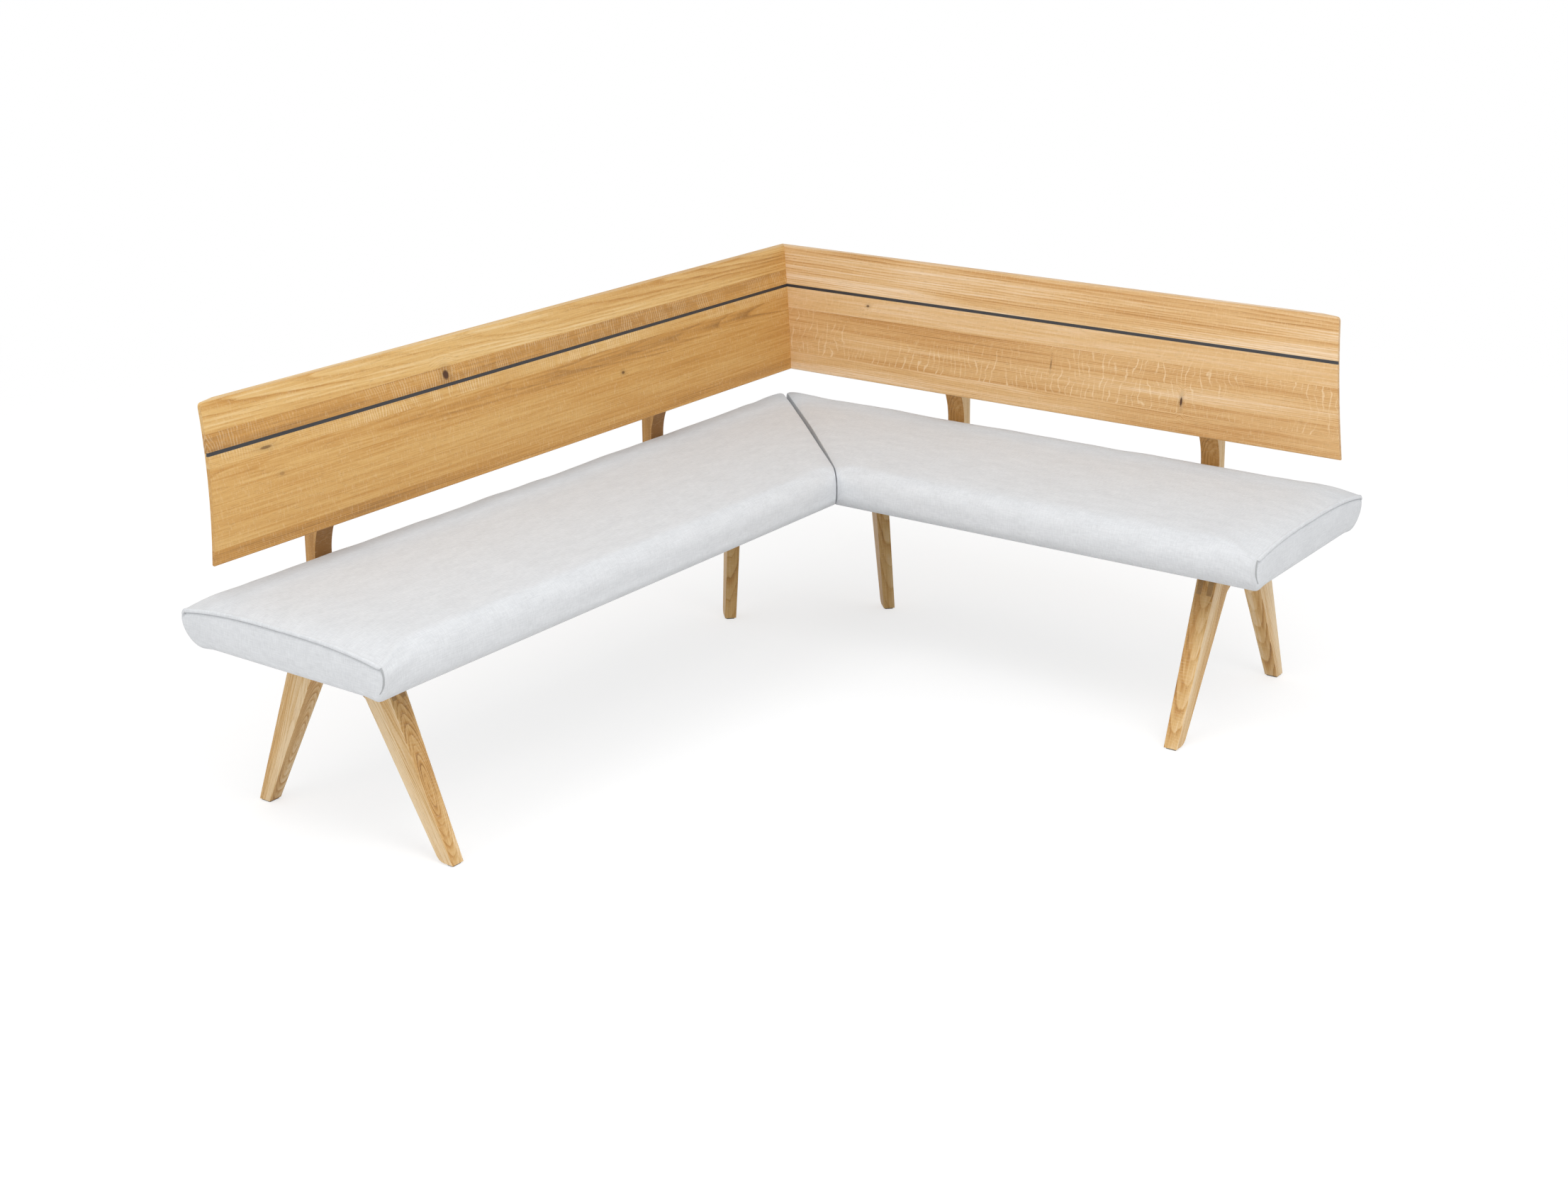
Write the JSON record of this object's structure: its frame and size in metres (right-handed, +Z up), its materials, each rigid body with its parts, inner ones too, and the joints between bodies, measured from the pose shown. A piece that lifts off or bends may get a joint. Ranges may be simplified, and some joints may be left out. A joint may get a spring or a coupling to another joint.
{
  "type": "corner bench",
  "caption": "L-shaped corner bench with crowned upholstered seats, curved oak backrest panels with a dark inlay line, splayed A-shaped end trestles and a leg frame under the corner.",
  "frame": {"origin": "bottom centre of the bounding box, on the floor under the felt glides", "axes": "+Z up; the long wing runs along Y, the short wing along X; the corner is at -X and +Y, and the seats face +X and -Y"},
  "size_m": [1.6, 2, 0.861],
  "materials": {
    "oak": "oiled solid oak, satin",
    "oak_crossbar": "oiled solid oak, end grain darker",
    "dark_inlay": "smoked dark strip, satin",
    "cover_fabric": "light grey woven upholstery fabric",
    "underside_cloth": "thin black lining cloth",
    "felt": "grey felt",
    "frame_wood": "raw plywood and softwood",
    "steel_plate": "black powder coat",
    "zinc_fastener": "zinc plated",
    "brass_insert": "plain"
  },
  "bodies": {
    "root": {"left_backrest_panel": "oak", "right_backrest_panel": "oak", "left_inner_upright": "oak", "left_outer_upright": "oak", "right_inner_upright": "oak", "right_outer_upright": "oak", "left_trestle_front_leg": "oak", "left_trestle_rear_leg": "oak", "right_trestle_front_leg": "oak", "right_trestle_rear_leg": "oak", "corner_left_leg": "oak", "corner_right_leg": "oak", "left_trestle_crossbar": "oak_crossbar", "right_trestle_crossbar": "oak_crossbar", "corner_crossbar": "oak_crossbar", "left_inlay_strip": "dark_inlay", "right_inlay_strip": "dark_inlay", "left_seat_pad": "cover_fabric", "right_seat_pad": "cover_fabric", "left_underside_cloth": "underside_cloth", "right_underside_cloth": "underside_cloth", "left_front_glide": "felt", "left_rear_glide": "felt", "right_front_glide": "felt", "right_rear_glide": "felt", "corner_left_glide": "felt", "corner_right_glide": "felt", "left_seat_board": "frame_wood", "right_seat_board": "frame_wood", "left_rear_rail": "frame_wood", "right_rear_rail": "frame_wood", "left_front_rail": "frame_wood", "right_front_rail": "frame_wood", "mitre_tongue": "frame_wood", "left_trestle_plate": "steel_plate", "right_trestle_plate": "steel_plate", "corner_plate": "steel_plate", "mitre_joining_plate": "steel_plate", "backrest_mitre_plate": "steel_plate", "mitre_plate_screws": "zinc_fastener", "panel_screws": "zinc_fastener", "upright_bolts": "zinc_fastener", "upright_washers": "zinc_fastener", "plate_to_frame_screws": "zinc_fastener", "plate_to_seat_screws": "zinc_fastener", "joining_plate_screws": "zinc_fastener", "rail_inserts": "brass_insert"}
  },
  "joints": []
}
